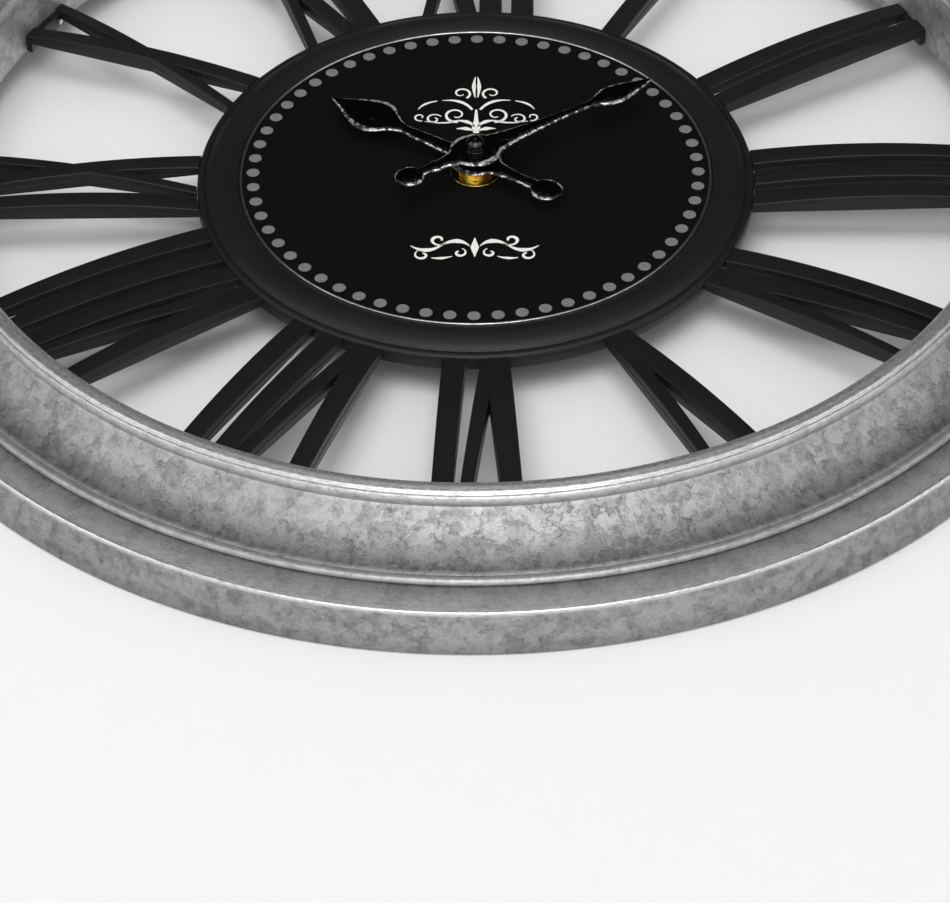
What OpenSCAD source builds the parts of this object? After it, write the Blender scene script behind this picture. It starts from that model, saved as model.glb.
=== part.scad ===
/* [Frame] */
// Outer radius of the base ring where it meets the wall
base_r = 254; // [252:0.5:256]
// Radius of the drum's inner wall
drum_in_r = 209.8; // [208:0.1:211]
// Radius of the rolled front edge in section
roll_r = 4.5; // [3.5:0.1:5]
// Height of the middle of the rolled edge above the dial
roll_h = 21.4; // [18:0.1:24]
// Depth of the wall plane behind the dial
wall_depth = 20.3; // [20:0.1:22]
// Thickness of the galvanised sheet
sheet_t = 0.9; // [0.7:0.1:1.2]

/* [Dial] */
// Outer radius of the centre moulding
ring_r = 111.5; // [111:0.1:112]
// Radius of the dial plate
dial_r = 93.4; // [90:0.1:94]
// Radius of the circle of minute dots
dots_r = 89.1; // [80:0.1:90]
// Radius of one minute dot
dot_r = 2.55; // [2:0.05:3]

/* [Numerals] */
// Radius where the numerals' face stands highest
crown_r = 170; // [160:1:180]
// Height of that crown above the dial
crown_h = 2.05; // [1:0.05:3]
// Radius of the numerals' arched face
crown_bend = 387; // [350:1:450]

/* [Hands] */
// Underside of the hour hand above the dial
hour_h = 5.6; // [5.2:0.1:6]
// Thickness of the hour hand
hour_t = 1.6; // [1.2:0.1:1.8]
// Underside of the minute hand above the dial
minute_h = 10; // [9.5:0.1:10.2]
// Thickness of the minute hand
minute_t = 2; // [1.5:0.1:2.2]
// Minutes past ten that the hands show at rest
rest_minutes = 9.5; // [8:0.5:11]

/* [Movement] */
// Side of the square movement case
case_w = 56; // [56:0.5:58]
// Front face of the case behind the dial
case_front = 4; // [3.9:0.1:4.2]
// Thickness of the case's walls
case_t = 1.2; // [1:0.1:1.4]

/* [Hidden] */
$fn = 96;
eps = 0.01;

// ---- frame: the dial's own axes are x right, y up, z forward ----
roll_c = drum_in_r + roll_r;
front_h = roll_h + roll_r;
mid_h = (front_h - wall_depth) / 2;

module place() translate([0, mid_h, 0]) rotate([90, 0, 0]) children();
module slab(z0, z1) translate([0, 0, z0]) linear_extrude(z1 - z0) children();
module rod(r, z0, z1) translate([0, 0, z0]) cylinder(r = r, h = z1 - z0);
module turned(points) rotate_extrude($fn = 180) polygon(points);

function arc(c, r, a0, a1, n) =
  [for (i = [0:n]) let (a = a0 + (a1 - a0) * i / n) c + r * [cos(a), sin(a)]];
function curve(a, b, c, n) =
  [for (i = [1:n - 1]) let (t = i / n) (1 - t) * (1 - t) * a + 2 * t * (1 - t) * b + t * t * c];
function side(p, i) =
  let (d = p[min(i + 1, len(p) - 1)] - p[max(i - 1, 0)]) [d[1], -d[0]] / norm(d);
// A path with its right side thickened, as sheet metal bent along it
function sheet(p, t) =
  concat(p, [for (i = [len(p) - 1:-1:0]) p[i] + t * side(p, i)]);

// ---- galvanised frame ----
flare_top = [roll_c, roll_h] + roll_r * [cos(-30), sin(-30)];
bead_c = [238.5, 1.7];
bead_r = 1.9;
bead_top = bead_c + bead_r * [cos(135), sin(135)];
flare_mid = (flare_top + bead_top) / 2 - [1.4, 1.4];
drum_path = concat(
  [[drum_in_r, -8], [drum_in_r, 0], [drum_in_r, 12]],
  arc([roll_c, roll_h], roll_r, 180, -30, 24),
  curve(flare_top, flare_mid, bead_top, 8),
  arc(bead_c, bead_r, 135, -15, 8));

// Screws that hold the outer end of each numeral to the drum wall
screw_h = -4.6;
screw_gap = 7;
module at_numeral_screws()
  for (k = [1:12]) for (s = [-1, 1]) rotate([0, 0, -30 * k])
    translate([pad_mid(k) + s * screw_gap, 0, screw_h]) rotate([-90, 0, 0]) children();

module drum_ring() place() color("#9b9e9c") difference() {
  turned(sheet(drum_path, sheet_t));
  at_numeral_screws() rod(1.5, drum_in_r - 3, drum_in_r + 4);
}

base_edge = [250.7, -3.2];
base_path = concat(
  [[236, 0.9], [240.3, 0.35]],
  curve([240.3, 0.35], [245.6, -1.4], [250, -2.4], 4),
  arc([249.9, -3.2], 0.8, 80, 10, 4),
  [[252.2, -10.8]],
  arc([base_r - 0.8, 0.8 - wall_depth], 0.8, 10, -90, 6),
  [[250, -wall_depth], [246.5, -wall_depth]]);

rivets = [for (s = [-1, 1]) for (d = [-5, 5]) [s * 62 + d, 241.4 - s * d * 0.26]];
module base_ring() place() color("#a2a5a2") difference() {
  turned(sheet(base_path, sheet_t));
  for (p = rivets) translate(p) rod(1.6, -wall_depth - 1, -wall_depth + 2);
}

// ---- hanger ----
key_y = 236;
key_r = 5;
slot_w = 4.5;
hanger_front = -wall_depth + sheet_t + 1.5;
module hanger_plate() place() color("#8d9092") difference() {
  slab(-wall_depth + sheet_t, hanger_front) {
    translate([-50, key_y - 11]) square([100, 20]);
    for (s = [-1, 1]) translate([s * 50, key_y - 1]) rotate(-s * 14.5) hanger_ear(s);
  }
  translate([0, key_y]) rod(key_r, -wall_depth, hanger_front + 1);
  translate([-slot_w / 2, key_y, -wall_depth]) cube([slot_w, 5.5, 5]);
  translate([0, key_y + 5.5]) rod(slot_w / 2, -wall_depth, hanger_front + 1);
  for (p = rivets) translate(p) rod(1.6, -wall_depth, hanger_front + 1);
}
module hanger_ear(s) translate([s > 0 ? -4 : -20, -8]) square([24, 20]);

module hanger_rivets() place() color("#b4b6b8") for (p = rivets) translate(p) {
  rod(1.58, -wall_depth, hanger_front + 0.5);
  rod(2.6, hanger_front + 0.02, hanger_front + 1);
}

// ---- centre moulding ----
ring_profile = concat(
  [[94.6, -0.85]],
  arc([101, -7.3], 9.4, 131, 45, 12),
  [[108.1, -1.55]],
  arc([ring_r - 1.9, -3.3], 1.9, 125, 0, 8),
  [[ring_r, -8], [ring_r - 2, -8], [ring_r - 2, -4.6], [107, -3.6], [104.5, -1.7]],
  [[101, -0.2], [97.6, -0.7], [94.6, -3], [5.2, -3], [5.2, -0.85]]);

peg_r = 1.2;
peg_h = -4.3;
module at_pegs(k) for (u = pegs(k)) rotate([0, 0, -30 * k])
  translate([u, 0, peg_h]) rotate([-90, 0, 0]) children();

module dial_ring() place() color("#1d1d1f") difference() {
  turned(ring_profile);
  for (k = [1:12]) at_pegs(k) rod(peg_r + 0.05, 104, ring_r + 2);
}

module dial_plate() place() color("#0d0d0e") difference() {
  rod(dial_r, -0.8, 0);
  rod(5.2, -2, 1);
}

module minute_dots() place() color("#8b8b8b")
  for (i = [0:59]) rotate(6 * i) translate([0, dots_r]) rod(dot_r, 0, 0.12);

module dial_trim_ring() place() color("#c9cbcd") turned([
  [dial_r + 0.1, -0.84], [dial_r + 1.1, -0.84], [dial_r + 1.1, 0.2],
  [dial_r + 0.8, 0.42], [dial_r + 0.4, 0.42], [dial_r + 0.1, 0.2]]);

// ---- numerals: each stroke is [inner middle, outer middle, inner width, outer width] ----
foot_r = 112;
head_r = 200;
thick = [9.4, 7.9];
v_thick = [10.2, 8];
v_thin = [6.8, 5];
x_thick = [8, 7];
x_thin = [5, 5];
function stroke(a, b, w) = [a, b, w[0], w[1]];
strokes = [
  [],
  [stroke(0, 0, thick)],
  [stroke(-6.6, -6.6, thick), stroke(6.6, 6.6, thick)],
  [stroke(-12.5, -11.5, thick), stroke(0.7, 1.5, thick), stroke(13.9, 14.6, thick)],
  [stroke(-7.5, -11.8, thick), stroke(6.7, -1.95, v_thick), stroke(9.8, 17.2, v_thin)],
  [stroke(0.5, -9.7, v_thick), stroke(2.8, 10.6, v_thin)],
  [stroke(-8.9, -15.6, v_thick), stroke(-6, 3.4, v_thin), stroke(7.5, 11.8, thick)],
  [stroke(-18.2, -35.8, v_thick), stroke(-15.3, -9.9, v_thin),
   stroke(-1.9, -2.6, thick), stroke(11.9, 11.1, thick)],
  [stroke(-19.6, -32, v_thick), stroke(-17.2, -12, v_thin),
   stroke(-4.3, -5.6, thick), stroke(8.7, 7.2, thick), stroke(21.9, 20.4, thick)],
  [stroke(-16.2, -20.6, thick), stroke(10.5, -7.2, x_thick), stroke(-7.5, 9.2, x_thin)],
  [stroke(9, -8.7, x_thick), stroke(-8.6, 8.6, x_thin)],
  [stroke(3, -14.7, x_thick), stroke(-14.6, 2.6, x_thin), stroke(12.4, 14.4, thick)],
  [stroke(-4.2, -20.4, x_thick), stroke(-20.4, -4.6, x_thin),
   stroke(5.4, 6, thick), stroke(18.8, 19.6, thick)]];

function along(s, r) = s[0] + (s[1] - s[0]) * (r - foot_r) / (head_r - foot_r);
function width(s, r) = s[2] + (s[3] - s[2]) * (r - foot_r) / (head_r - foot_r);
function edge(s, r, k) = [along(s, r) + k * width(s, r) / 2, r];
function ends(k) = [for (s = strokes[k]) for (e = [-1, 1]) edge(s, drum_in_r, e)[0]];
function pad_half(k) = max(11, (max(ends(k)) - min(ends(k))) / 2);
function pad_mid(k) = (max(ends(k)) + min(ends(k))) / 2;
// A peg stands behind the first and the last stroke of each numeral
function pegs(k) = let (u = [for (s = strokes[k]) along(s, ring_r)])
  len(u) == 1 ? u : [min(u), max(u)];

face_h = function (r) crown_h - (r - crown_r) * (r - crown_r) / (2 * crown_bend);
band = concat(
  [for (i = [0:12]) let (r = ring_r + 0.2 + i * (drum_in_r - 0.4 - ring_r) / 12) [r, face_h(r)]],
  [[drum_in_r - 0.2, -3.6], [ring_r + 0.2, -6]]);

module numeral(k) place() color("#1b1b1d") difference() {
  union() {
    intersection() {
      rotate([0, 0, -30 * k]) slab(-9, 5)
        for (s = strokes[k]) polygon([edge(s, 104, -1), edge(s, 104, 1), edge(s, 216, 1), edge(s, 216, -1)]);
      turned(band);
    }
    intersection() {
      rotate([0, 0, -30 * k]) translate([pad_mid(k) - pad_half(k), 190, -9])
        cube([2 * pad_half(k), 30, 14]);
      turned([[drum_in_r - 3, -7.6], [drum_in_r - 0.2, -7.6], [drum_in_r - 0.2, -1], [drum_in_r - 3, -1]]);
    }
    at_pegs(k) rod(peg_r, 107.6, ring_r + 3);
  }
  for (s = [-1, 1]) rotate([0, 0, -30 * k]) translate([pad_mid(k) + s * screw_gap, 0, screw_h])
    rotate([-90, 0, 0]) rod(1.22, drum_in_r - 5, drum_in_r + 1);
}

module numeral_screws() place() color("#8f9294") at_numeral_screws() {
  rod(1.2, drum_in_r - 4, drum_in_r + 1.2);
  difference() {
    rod(2.6, drum_in_r + sheet_t + 0.05, drum_in_r + sheet_t + 1.6);
    for (a = [0, 90]) rotate(a) translate([-1.6, -0.3, drum_in_r + sheet_t + 0.9]) cube([3.2, 0.6, 2]);
  }
}

// ---- movement: places of the arbors ----
train_m = 0.32;
third_at = (64 + 8) * train_m / 2 * [cos(60), sin(60)];
third_m = 0.3;
second_dir = 175;
second_at = third_at + (60 + 8) * third_m / 2 * [cos(second_dir), sin(second_dir)];
second_m = 0.3;
idler_dir = 180;
idler_at = second_at + (30 + 6) * second_m / 2 * [cos(idler_dir), sin(idler_dir)];
idler_m = 0.25;
rotor_dir = 135;
rotor_at = idler_at + (36 + 6) * idler_m / 2 * [cos(rotor_dir), sin(rotor_dir)];
motion_m = 0.4;
motion_at = [(12 + 36) * motion_m / 2, 0];
hour_m = 2 * motion_at[0] / (40 + 10);
knob_dir = -20;
knob_at = motion_at + (36 + 12) * motion_m / 2 * [cos(knob_dir), sin(knob_dir)];

case_back = -19;
case_in = case_w / 2 - case_t;
floor_h = -case_front - case_t;
cover_h = case_back + case_t;
plate_top = -9.8;
plate_bottom = -10.6;
pocket_top = -12.6;
battery_y = -19.7;
battery_h = -12.55;
arbor_r = 0.4;

// Height ranges of the wheels, back and front of each
hour_level = [-7.4, -6.5];
motion_level = [-9.2, -8.3];
centre_level = [-12, -11.2];
third_level = [-13.4, -12.6];
second_level = [-14.8, -14];
idler_level = [-16.2, -15.4];

module gear(teeth, m, level, turn = 0) {
  r = teeth * m / 2;
  step = 360 / teeth;
  slab(level[0], level[1]) rotate(turn) polygon([for (i = [0:teeth - 1])
    for (p = [[-0.27, -1.25], [-0.11, 0.8], [0.11, 0.8], [0.27, -1.25]])
      (r + p[1] * m) * [cos((i + p[0]) * step), sin((i + p[0]) * step)]]);
}
module wheel_hole(r) difference() {
  children();
  rod(r, -30, 30);
}
// The side of a wheel that faces its partner holds a gap, where the partner has a tooth
function gap(dir, teeth) = dir + 180 + 180 / teeth;

module rounded(w, h, r) {
  square([w - 2 * r, h], center = true);
  square([w, h - 2 * r], center = true);
  for (x = [-1, 1]) for (y = [-1, 1]) translate([x * (w / 2 - r), y * (h / 2 - r)]) circle(r = r);
}

cover_screws_at = [[-24.2, 24.2], [24.2, 24.2], [-24.2, -9.6], [24.2, -9.6]];
module movement_case() place() color("#1f2023") difference() {
  union() {
    difference() {
      slab(case_back, -case_front) rounded(case_w, case_w, 2.5);
      slab(case_back - 1, floor_h) rounded(2 * case_in, 2 * case_in, 1.4);
    }
    translate([-case_in - eps, pocket_top, case_back])
      cube([2 * case_in + 2 * eps, case_t, floor_h - case_back + eps]);
    for (p = cover_screws_at) translate(p) rod(2, cover_h, floor_h + eps);
  }
  rod(4, -10, 0);
  for (p = cover_screws_at) translate(p) rod(0.9, cover_h - 1, -8);
}

module movement_cover() place() color("#26272b") difference() {
  slab(case_back, cover_h - 0.02) difference() {
    translate([0, (case_in + pocket_top + case_t) / 2])
      rounded(2 * case_in - 0.3, case_in - pocket_top - case_t - 0.3, 1.2);
    translate(knob_at) circle(r = 3.6);
    for (p = cover_screws_at) translate(p) circle(r = 1.1);
  }
  for (p = [third_at, second_at, idler_at, rotor_at]) translate(p) rod(arbor_r + 0.04, -18.4, -10);
}

module cover_screws() place() color("#9a9c9e") for (p = cover_screws_at) translate(p) {
  rod(0.88, case_back - 0.05, -16);
  difference() {
    rod(1.8, case_back - 0.9, case_back - 0.02);
    for (a = [0, 90]) rotate(a) translate([-1.2, -0.25, case_back - 1.4]) cube([2.4, 0.5, 1]);
  }
}

module gear_plate() place() color("#3b3d42") slab(plate_bottom, plate_top) difference() {
  translate([0, (case_in + pocket_top + case_t) / 2])
    rounded(2 * case_in - 0.4, case_in - pocket_top - case_t - 0.4, 1.2);
  circle(r = arbor_top_r + 0.05);
  for (p = [third_at, second_at, idler_at, rotor_at]) translate(p) circle(r = arbor_r + 0.04);
  translate(motion_at) circle(r = arbor_r + 0.04);
  translate(knob_at) circle(r = 1.35);
  for (p = cover_screws_at) translate(p) circle(r = 2.2);
  translate([coil_x[0] - 0.7, coil_y - coil_r - 0.4]) square([coil_x[1] - coil_x[0] + 1.4, 12]);
}

// ---- fixing through the dial ----
bush_r = 3.95;
module threaded_bush() place() color("#c9a54a") difference() {
  union() {
    rod(bush_r, floor_h - 0.8, 5);
    rod(5.4, floor_h - 0.8, floor_h - 0.02);
  }
  rod(2.7, -10, 6);
}
module cushion_washer() place() color("#232323") wheel_hole(4.2) rod(13, -case_front + 0.02, -3.02);
module flat_washer() place() color("#cfae4d") wheel_hole(4.05) rod(10, 0.02, 0.8);
module hex_nut() place() color("#d3b452") wheel_hole(4) intersection() {
  slab(0.82, 4.4) rotate(30) circle(r = 6.5 / cos(30), $fn = 6);
  turned([[0, 0.8], [7, 0.8], [7.6, 1.3], [7.6, 3.9], [6.4, 4.4], [0, 4.4]]);
}

// ---- hands: half widths along each hand, from the middle outwards ----
hub_r = 10.3;
hour_half = [[8, 5], [12, 3.7], [20, 3.1], [28, 2.8], [34, 2.2], [37, 2.8], [40, 4.4], [43, 6.9],
  [46, 9.3], [49, 10.4], [52, 10.2], [56, 8.7], [60, 6.5], [64, 4], [68, 1.7], [71, 0.3]];
hour_tail_half = [[7, 5.4], [12, 3.8], [17, 2.9], [23, 2.5], [29, 3]];
minute_half = [[8, 6.4], [12, 5], [20, 3.7], [28, 2.9], [36, 2.2], [46, 1.7], [54, 1.6], [57, 2.3],
  [60, 3.7], [63, 5.2], [66, 5.8], [70, 5.3], [75, 3.8], [80, 2], [85, 0.3]];
minute_tail_half = [[7, 5.6], [12, 3.6], [16, 2.5], [19, 3.1], [22, 2.2], [26, 2.6]];
hour_disc = [34.4, 6.4];
minute_disc = [30.9, 5.8];

minute_turn = -6 * rest_minutes;
hour_turn = -(300 + rest_minutes / 2);

module blade(half) polygon(concat(
  [for (p = half) [p[1], p[0]]],
  [for (i = [len(half) - 1:-1:0]) [-half[i][1], half[i][0]]]));
module hand_outline(half, tail, disc, bore) difference() {
  union() {
    circle(r = hub_r);
    blade(half);
    rotate(180) blade(tail);
    translate([0, -disc[0]]) circle(r = disc[1]);
  }
  circle(r = bore);
}

hour_tube_r = 2.6;
arbor_top_r = 1.7;
module hour_hand() place() color("#161617") rotate(hour_turn)
  slab(hour_h, hour_h + hour_t) hand_outline(hour_half, hour_tail_half, hour_disc, hour_tube_r + 0.01);

module hour_wheel() place() color("#e6e2d6") wheel_hole(arbor_top_r + 0.06) {
  gear(40, hour_m, hour_level);
  rod(hour_tube_r, hour_level[0], hour_h + hour_t + 0.6);
}

module minute_hand() place() color("#161617") rotate(minute_turn)
  slab(minute_h, minute_h + minute_t)
    hand_outline(minute_half, minute_tail_half, minute_disc, arbor_top_r + 0.01);

module minute_arbor() place() color("#d8d9db") {
  rod(arbor_top_r, centre_level[0] - 0.1, minute_h + minute_t - 0.1);
  rod(1.4, minute_h, 15.4);
  gear(12, motion_m, [motion_level[0] - 0.3, motion_level[1] + 0.2]);
  rod(2.2, centre_level[0] - 0.5, centre_level[0] - 0.05);
  rod(0.6, cover_h + 0.1, centre_level[0]);
}

cap_h = minute_h + minute_t + 0.03;
module hand_cap_nut() place() color("#1a1a1b") difference() {
  turned(concat([[0, cap_h], [4.4, cap_h], [4.4, cap_h + 0.8], [3.9, cap_h + 1.1], [3.9, cap_h + 1.9]],
    arc([0, cap_h + 1.9], 3.9, 15, 90, 8)));
  rod(1.42, cap_h - 1, 15.5);
}

// ---- wheels ----
// Grips the minute arbor by friction, so that the hands can be set while the train stands still
module centre_wheel() place() color("#e6e2d6") wheel_hole(arbor_top_r + 0.04) {
  gear(64, train_m, centre_level, 60);
  rod(3.2, centre_level[0], plate_bottom - 0.1);
}
module motion_wheel() place() translate(motion_at) color("#e6e2d6") {
  gear(36, motion_m, motion_level, 5);
  gear(10, hour_m, [motion_level[0], hour_level[1] + 0.1], gap(0, 10));
  rod(arbor_r, plate_bottom, motion_level[0] + eps);
}
module third_wheel() place() translate(third_at) color("#d9c27a") {
  gear(8, train_m, [third_level[0], centre_level[1] + 0.2], gap(60, 8));
  gear(60, third_m, third_level, second_dir);
  rod(arbor_r, -18.3, plate_top);
}
module second_wheel() place() translate(second_at) color("#e6e2d6") {
  gear(8, third_m, [second_level[0], third_level[1] + 0.2], gap(second_dir, 8));
  gear(30, second_m, second_level, idler_dir);
  rod(arbor_r, -18.3, plate_top);
}
module idler_wheel() place() translate(idler_at) color("#e6e2d6") {
  gear(6, second_m, [idler_level[0], second_level[1] + 0.2], gap(idler_dir, 6));
  gear(36, idler_m, idler_level, rotor_dir);
  rod(arbor_r, -18.3, plate_top);
}
module rotor() place() translate(rotor_at) color("#5f6368") {
  gear(6, idler_m, [idler_level[0] - 0.2, -14.6], gap(rotor_dir, 6));
  rod(2.2, -14.4, -12);
  rod(arbor_r, -18.3, plate_top);
}
module set_knob() place() translate(knob_at) color("#ece9df") {
  gear(12, motion_m, [motion_level[0] - 0.1, motion_level[1] + 0.1], 160);
  rod(1.3, -21 + 1.4, motion_level[0]);
  difference() {
    rod(3.4, case_back - 0.9, case_back + 0.9);
    for (i = [0:11]) rotate(30 * i) translate([3.5, 0]) rod(0.35, case_back - 2, case_back + 2);
  }
}

// ---- stepping motor and circuit ----
coil_y = 22.8;
coil_h = -13.2;
coil_r = 3.3;
stator_level = [-13.6, -12.8];
module stator() place() color("#9fa3a7") slab(stator_level[0], stator_level[1]) difference() {
  union() {
    translate(rotor_at) circle(r = 5);
    translate([rotor_at[0] - 5, rotor_at[1]]) square([10, coil_y - rotor_at[1] + 1.5]);
    translate([rotor_at[0] - 5, coil_y - 1.5]) square([30, 3]);
  }
  translate(rotor_at) circle(r = 2.7);
  translate(idler_at) circle(r = 1);
}
coil_x = [-6.5, 8.5];
module coil_bobbin() place() color("#e9e4d4") wheel_x(coil_x[0], coil_x[1]) {
  rod(1.9, coil_x[0], coil_x[1]);
  rod(coil_r, coil_x[0], coil_x[0] + 0.8);
  rod(coil_r, coil_x[1] - 0.8, coil_x[1]);
}
module coil_winding() place() color("#b4652f") wheel_x(coil_x[0], coil_x[1])
  difference() {
    rod(coil_r - 0.25, coil_x[0] + 0.85, coil_x[1] - 0.85);
    rod(1.95, coil_x[0], coil_x[1]);
  }
// Turned about the stator's long arm, with the arm's own slot left free
module wheel_x(x0, x1) difference() {
  translate([0, coil_y, coil_h]) rotate([0, 90, 0]) children();
  translate([x0 - 1, coil_y - 1.55, stator_level[0] - 0.05])
    cube([x1 - x0 + 2, 3.1, stator_level[1] - stator_level[0] + 0.1]);
}
module circuit_board() place() color("#2f6b3c") slab(-14, -13) translate([21, 10.5]) difference() {
  square([9, 22], center = true);
  translate([0, 9]) circle(r = 0.8);
}
module quartz_can() place() color("#c4c7ca") translate([21, 4, -15.6]) rotate([-90, 0, 0]) rod(1.5, 0, 8);

// ---- battery and contacts ----
module battery() place() color("#3c4148") translate([0, battery_y, battery_h]) rotate([0, 90, 0]) {
  rod(6.9, -24.4, 24.6);
  rod(2.6, -25.4, -24.3);
}
module contact_plate() place() color("#c8cbce") translate([-case_in + 0.15, battery_y - 4.5, -18])
  cube([0.6, 9, 12]);
module contact_spring() place() color("#c8cbce") {
  translate([case_in - 0.55, battery_y - 4.5, -18]) cube([0.4, 9, 12]);
  translate([0, battery_y, battery_h]) rotate([0, 90, 0]) for (i = [0:2])
    translate([0, 0, case_in - 0.8 - 0.42 * i]) rotate_extrude()
      translate([4 - 0.55 * i, 0]) circle(r = 0.38);
}

module numeral_1() numeral(1);
module numeral_2() numeral(2);
module numeral_3() numeral(3);
module numeral_4() numeral(4);
module numeral_5() numeral(5);
module numeral_6() numeral(6);
module numeral_7() numeral(7);
module numeral_8() numeral(8);
module numeral_9() numeral(9);
module numeral_10() numeral(10);
module numeral_11() numeral(11);
module numeral_12() numeral(12);

drum_ring();
base_ring();
dial_ring();
dial_plate();
minute_dots();
dial_trim_ring();
numeral_1();
numeral_2();
numeral_3();
numeral_4();
numeral_5();
numeral_6();
numeral_7();
numeral_8();
numeral_9();
numeral_10();
numeral_11();
numeral_12();
numeral_screws();
hanger_plate();
hanger_rivets();
movement_case();
movement_cover();
cover_screws();
gear_plate();
threaded_bush();
cushion_washer();
flat_washer();
hex_nut();
hour_hand();
hour_wheel();
minute_hand();
minute_arbor();
hand_cap_nut();
centre_wheel();
motion_wheel();
third_wheel();
second_wheel();
idler_wheel();
rotor();
set_knob();
stator();
coil_bobbin();
coil_winding();
circuit_board();
quartz_can();
battery();
contact_plate();
contact_spring();
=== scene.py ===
"""Looks of a skeleton wall clock: a galvanised drum frame, black roman numerals and a small black dial.

Lengths are in millimetres until at() turns them into the frame's metres. On the dial, x runs to the right,
z up and h forward from the dial's face; angles run clockwise from twelve o'clock.
"""

import math

import bpy
import numpy as np
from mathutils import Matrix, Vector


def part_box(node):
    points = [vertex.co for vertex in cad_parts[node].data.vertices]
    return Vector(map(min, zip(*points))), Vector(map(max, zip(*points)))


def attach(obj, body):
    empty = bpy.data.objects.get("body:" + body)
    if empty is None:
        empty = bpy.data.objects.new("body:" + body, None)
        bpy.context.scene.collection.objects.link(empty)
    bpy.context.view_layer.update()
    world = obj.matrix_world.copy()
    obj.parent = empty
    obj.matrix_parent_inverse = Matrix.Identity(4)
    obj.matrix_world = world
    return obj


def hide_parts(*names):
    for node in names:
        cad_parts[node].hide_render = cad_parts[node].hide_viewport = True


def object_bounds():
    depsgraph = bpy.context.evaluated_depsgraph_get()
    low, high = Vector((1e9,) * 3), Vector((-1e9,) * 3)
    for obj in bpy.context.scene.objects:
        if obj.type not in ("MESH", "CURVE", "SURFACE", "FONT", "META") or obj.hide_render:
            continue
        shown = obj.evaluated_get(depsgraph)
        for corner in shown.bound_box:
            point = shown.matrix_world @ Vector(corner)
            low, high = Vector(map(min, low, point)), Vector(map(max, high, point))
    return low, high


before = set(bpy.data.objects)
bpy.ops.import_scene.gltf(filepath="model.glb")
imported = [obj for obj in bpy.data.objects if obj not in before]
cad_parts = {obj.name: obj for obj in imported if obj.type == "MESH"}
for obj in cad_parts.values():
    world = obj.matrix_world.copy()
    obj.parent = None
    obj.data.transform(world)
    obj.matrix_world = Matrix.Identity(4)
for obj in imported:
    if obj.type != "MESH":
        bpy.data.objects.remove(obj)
cad_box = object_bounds()

MM = 0.001
DIAL_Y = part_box("dial_plate")[0].y / MM
TAU = 2 * math.pi


# ---------------------------------------------------------------- places and meshes

def at(x, z, h):
    """Points of the frame, in metres, from dial places in millimetres."""
    x, z, h = np.broadcast_arrays(x, z, h)
    return np.stack([x, DIAL_Y - h, z], -1) * MM


def turned_by(angle, u, r):
    """Dial x and z of a place u across and r out along a line at a clockwise angle."""
    s, c = math.sin(angle), math.cos(angle)
    return r * s + u * c, r * c - u * s


def arc(centre, radius, start, end, steps):
    """Points on a circle's arc, in degrees from the first axis."""
    a = np.radians(np.linspace(start, end, steps + 1))
    return np.array(centre) + radius * np.stack([np.cos(a), np.sin(a)], -1)


def bend(a, b, c, steps):
    """Quadratic curve from a to c pulled towards b, without its ends."""
    t = np.linspace(0, 1, steps + 1)[1:-1, None]
    a, b, c = (np.array(p, float) for p in (a, b, c))
    return (1 - t) ** 2 * a + 2 * t * (1 - t) * b + t**2 * c


def sheet_section(path, thickness):
    """Closed section of bent sheet: the path, and the path moved sideways by the thickness, each square to
    it."""
    d = np.gradient(path, axis=0)
    side = np.stack([d[:, 1], -d[:, 0]], -1)
    side /= np.linalg.norm(side, axis=1, keepdims=True)
    return np.concatenate([path, (path + thickness * side)[::-1]])


def filleted(corners, radius, steps=4):
    """Closed outline with each corner replaced by a quadratic curve that starts radius before it."""
    p = np.array(corners, float)
    out = []
    for before, corner, after in zip(np.roll(p, 1, 0), p, np.roll(p, -1, 0)):
        ends = []
        for other in (before, after):
            step = other - corner
            length = np.linalg.norm(step)
            ends.append(corner + step / length * min(radius, 0.45 * length))
        t = np.linspace(0, 1, steps + 1)[:, None]
        out.append((1 - t) ** 2 * ends[0] + 2 * t * (1 - t) * corner + t**2 * ends[1])
    return np.concatenate(out)


def faces_of(rows, columns, ring):
    """Quads of a grid that wraps across its columns, and along its rows too when it is a ring."""
    i = np.arange(rows if ring else rows - 1)[:, None]
    j = np.arange(columns)[None, :]
    i2, j2 = (i + 1) % rows, (j + 1) % columns
    corners = i * columns + j, i2 * columns + j, i2 * columns + j2, i * columns + j2
    return np.stack(np.broadcast_arrays(*corners), -1).reshape(-1, 4)


def skin(grid, ring=False):
    """Vertices and faces of a closed skin: rows of points round a body, with its ends fanned to their
    middles."""
    rows, columns = grid.shape[:2]
    points = grid.reshape(-1, 3)
    faces = faces_of(rows, columns, ring).tolist()
    if not ring:
        points = np.concatenate([points, grid[:1].mean(1), grid[-1:].mean(1)])
        j = np.arange(columns)
        ahead = (j + 1) % columns
        start, end = np.full(columns, rows * columns), np.full(columns, rows * columns + 1)
        last = (rows - 1) * columns
        faces += np.stack([start, ahead, j], -1).tolist()
        faces += np.stack([end, last + ahead, last + j], -1).tolist()
    return points, faces


def volume(points, faces):
    """Signed volume of a closed skin: a sixth of the triple products of two triangles from each face's
    corner."""
    quads = np.array([f if len(f) == 4 else [*f, f[2]] for f in faces])
    a, b, c, d = (points[quads[:, k]] for k in range(4))
    return (a * (np.cross(b, c) + np.cross(c, d))).sum() / 6


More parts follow.
